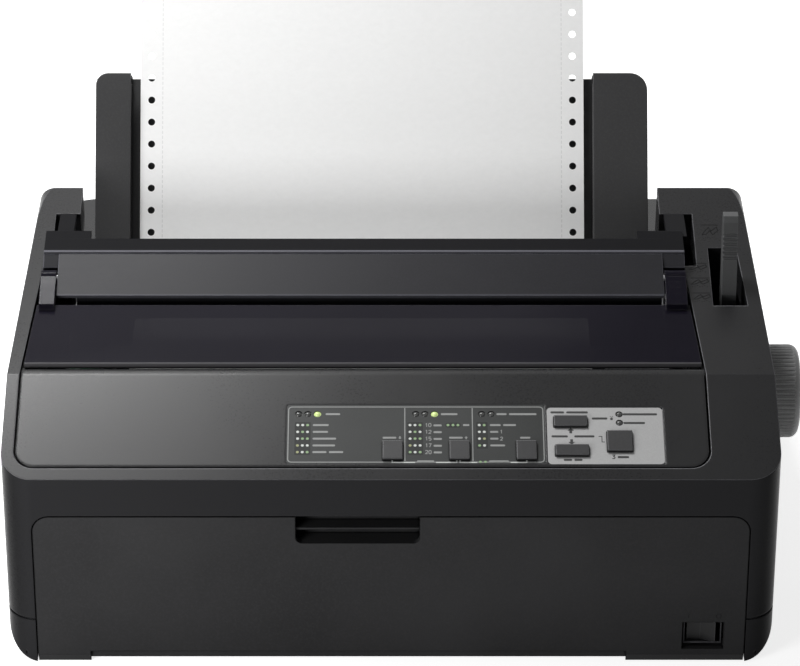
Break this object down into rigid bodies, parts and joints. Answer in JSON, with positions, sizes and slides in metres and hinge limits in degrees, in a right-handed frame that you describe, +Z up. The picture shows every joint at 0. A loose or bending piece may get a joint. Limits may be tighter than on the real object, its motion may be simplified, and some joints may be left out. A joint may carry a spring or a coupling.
{
  "type": "dot matrix printer",
  "caption": "Wide desktop dot matrix printer with a hinged smoked cover, drop-down front door, control panel, platen knob, release lever and a rear paper guide with continuous paper.",
  "frame": {"origin": "on the floor under the middle of the whole machine, its platen knob included", "axes": "+X to the right as seen from the front, +Y to the back, +Z up"},
  "size_m": [0.429, 0.35, 0.2569],
  "materials": {
    "case": "fine-textured satin",
    "door": "fine-textured satin",
    "panel": "satin",
    "cover_smoke": "smoked, polished",
    "cover_grey": "satin",
    "legend": "printed film",
    "silver_film": "silver-grey film",
    "key_dark": "satin",
    "lamp": "clear moulded",
    "steel": "zinc-plated sheet",
    "rod": "ground and polished",
    "motor": "satin black",
    "head": "die-cast",
    "mechanism": "moulded",
    "gear": "natural acetal",
    "brass": "machined",
    "bush": "sintered look",
    "rubber": "matte",
    "board": "solder-masked",
    "port": "plated shell",
    "knob": "satin",
    "lever": "satin",
    "guide": "satin",
    "blue": "satin",
    "paper": "uncoated"
  },
  "bodies": {
    "base": {"lower_case": "case", "upper_housing": "case", "front_inner_panel": "mechanism", "control_panel": "panel", "legend_plate": "legend", "silver_plate": "silver_film", "indicator_lamps": "lamp", "panel_board": "board", "tear_off_cover": "cover_grey", "hinge_pins": "steel", "chassis_plate": "steel", "side_frame_left": "steel", "side_frame_right": "steel", "guide_rods": "rod", "carriage_rail": "steel", "carriage_motor": "motor", "belt_brackets": "steel", "carriage_belt": "rubber", "ribbon_cartridge": "mechanism", "feed_motor": "motor", "platen_bushes": "bush", "tractor_bodies": "mechanism", "main_board": "board", "interface_ports": "port", "power_supply": "board", "power_inlet": "mechanism", "power_switch_housing": "mechanism", "rubber_feet": "rubber", "screws": "steel", "continuous_paper": "paper"},
    "front_door": {"front_door": "door"},
    "printer_cover": {"printer_cover": "cover_smoke"},
    "platen": {"platen_roller": "rubber", "platen_shaft": "rod", "platen_gear": "gear", "platen_knob": "knob"},
    "feed_pinion": {"feed_pinion": "brass"},
    "idler_front": {"idler_gear_front": "gear"},
    "idler_rear": {"idler_gear_rear": "gear"},
    "tractor_drive": {"tractor_shaft": "rod", "tractor_gear": "gear"},
    "tractor_flap_left": {"tractor_flap_left": "mechanism"},
    "tractor_flap_right": {"tractor_flap_right": "mechanism"},
    "pinch_roller": {"pinch_roller": "rubber"},
    "carriage": {"print_carriage": "mechanism", "print_head": "head"},
    "drive_pulley": {"drive_pulley": "bush"},
    "idler_pulley": {"idler_pulley": "bush"},
    "ribbon_knob": {"ribbon_knob": "blue"},
    "release_lever": {"paper_release_lever": "lever"},
    "paper_guide": {"paper_guide": "guide"},
    "edge_guide_left": {"edge_guide_left": "guide"},
    "edge_guide_right": {"edge_guide_right": "guide"},
    "key_one": {"key_one": "key_dark"},
    "key_two": {"key_two": "key_dark"},
    "key_three": {"key_three": "key_dark"},
    "key_load": {"key_load": "key_dark"},
    "key_feed": {"key_feed": "key_dark"},
    "key_pause": {"key_pause": "key_dark"},
    "power_rocker": {"power_rocker": "key_dark"}
  },
  "joints": [
    {"name": "door_hinge", "type": "hinge", "parent": "base", "child": "front_door", "pos_m": [-0.0095, -0.1715, 0.0065], "axis": [1, 0, 0], "range_deg": [0, 90]},
    {"name": "cover_hinge", "type": "hinge", "parent": "base", "child": "printer_cover", "pos_m": [-0.0095, -0.036, 0.16082], "axis": [-1, 0, 0], "range_deg": [0, 95]},
    {"name": "platen_spin", "type": "hinge", "parent": "base", "child": "platen", "pos_m": [-0.0095, -0.054, 0.1], "axis": [1, 0, 0], "continuous": true},
    {"name": "pinion_spin", "type": "hinge", "parent": "base", "child": "feed_pinion", "pos_m": [-0.0095, -0.02854, 0.07454], "axis": [1, 0, 0], "continuous": true},
    {"name": "idler_front_spin", "type": "hinge", "parent": "base", "child": "idler_front", "pos_m": [-0.0095, -0.00118, 0.11123], "axis": [1, 0, 0], "continuous": true},
    {"name": "idler_rear_spin", "type": "hinge", "parent": "base", "child": "idler_rear", "pos_m": [-0.0095, 0.04778, 0.0792], "axis": [1, 0, 0], "continuous": true},
    {"name": "tractor_spin", "type": "hinge", "parent": "base", "child": "tractor_drive", "pos_m": [-0.0095, 0.095, 0.0706], "axis": [1, 0, 0], "continuous": true},
    {"name": "pinch_spin", "type": "hinge", "parent": "base", "child": "pinch_roller", "pos_m": [-0.0095, -0.054, 0.0764], "axis": [1, 0, 0], "continuous": true},
    {"name": "flap_left_hinge", "type": "hinge", "parent": "base", "child": "tractor_flap_left", "pos_m": [-0.15675, 0.095, 0.0843], "axis": [0, -1, 0], "range_deg": [0, 120]},
    {"name": "flap_right_hinge", "type": "hinge", "parent": "base", "child": "tractor_flap_right", "pos_m": [0.10455, 0.095, 0.0843], "axis": [0, 1, 0], "range_deg": [0, 120]},
    {"name": "carriage_travel", "type": "slide", "parent": "base", "child": "carriage", "axis": [1, 0, 0], "range_m": [0, 0.228]},
    {"name": "drive_pulley_spin", "type": "hinge", "parent": "base", "child": "drive_pulley", "pos_m": [-0.1655, -0.097, 0], "axis": [0, 0, 1], "range_deg": [0, 1640]},
    {"name": "idler_pulley_spin", "type": "hinge", "parent": "base", "child": "idler_pulley", "pos_m": [0.1245, -0.097, 0], "axis": [0, 0, 1], "range_deg": [0, 1640]},
    {"name": "ribbon_knob_spin", "type": "hinge", "parent": "base", "child": "ribbon_knob", "pos_m": [-0.1535, -0.137, 0], "axis": [0, 0, 1], "continuous": true},
    {"name": "lever_swing", "type": "hinge", "parent": "base", "child": "release_lever", "pos_m": [-0.0095, -0.038, 0.118], "axis": [1, 0, 0], "range_deg": [-15, 15]},
    {"name": "guide_tilt", "type": "hinge", "parent": "base", "child": "paper_guide", "pos_m": [-0.0095, 0.056, 0.122], "axis": [-1, 0, 0], "range_deg": [0, 50]},
    {"name": "edge_left_slide", "type": "slide", "parent": "paper_guide", "child": "edge_guide_left", "axis": [-1, 0, 0], "range_m": [-0.02, 0.003]},
    {"name": "edge_right_slide", "type": "slide", "parent": "paper_guide", "child": "edge_guide_right", "axis": [1, 0, 0], "range_m": [-0.03, 0.003]},
    {"name": "key_one_press", "type": "slide", "parent": "base", "child": "key_one", "axis": [0, 0.3827, -0.9239], "range_m": [0, 0.0008], "stiffness_N_per_m": 400, "springref_m": -0.0005},
    {"name": "key_two_press", "type": "slide", "parent": "base", "child": "key_two", "axis": [0, 0.3827, -0.9239], "range_m": [0, 0.0008], "stiffness_N_per_m": 400, "springref_m": -0.0005},
    {"name": "key_three_press", "type": "slide", "parent": "base", "child": "key_three", "axis": [0, 0.3827, -0.9239], "range_m": [0, 0.0008], "stiffness_N_per_m": 400, "springref_m": -0.0005},
    {"name": "key_load_press", "type": "slide", "parent": "base", "child": "key_load", "axis": [0, 0.3827, -0.9239], "range_m": [0, 0.0008], "stiffness_N_per_m": 400, "springref_m": -0.0005},
    {"name": "key_feed_press", "type": "slide", "parent": "base", "child": "key_feed", "axis": [0, 0.3827, -0.9239], "range_m": [0, 0.0008], "stiffness_N_per_m": 400, "springref_m": -0.0005},
    {"name": "key_pause_press", "type": "slide", "parent": "base", "child": "key_pause", "axis": [0, 0.3827, -0.9239], "range_m": [0, 0.0008], "stiffness_N_per_m": 400, "springref_m": -0.0005},
    {"name": "rocker_tilt", "type": "hinge", "parent": "base", "child": "power_rocker", "pos_m": [0.1571, -0.163, 0.018], "axis": [0, 0, 1], "range_deg": [0, 20]}
  ],
  "couplings": [
    {"joint": "pinion_spin", "follows": "platen_spin", "ratio": -2.4286},
    {"joint": "idler_front_spin", "follows": "platen_spin", "ratio": -0.89474},
    {"joint": "idler_rear_spin", "follows": "platen_spin", "ratio": 0.85},
    {"joint": "tractor_spin", "follows": "platen_spin", "ratio": -1.4167},
    {"joint": "pinch_spin", "follows": "platen_spin", "ratio": -2.9083},
    {"joint": "drive_pulley_spin", "follows": "carriage_travel", "rad_per_m": 125},
    {"joint": "idler_pulley_spin", "follows": "carriage_travel", "rad_per_m": 125}
  ]
}
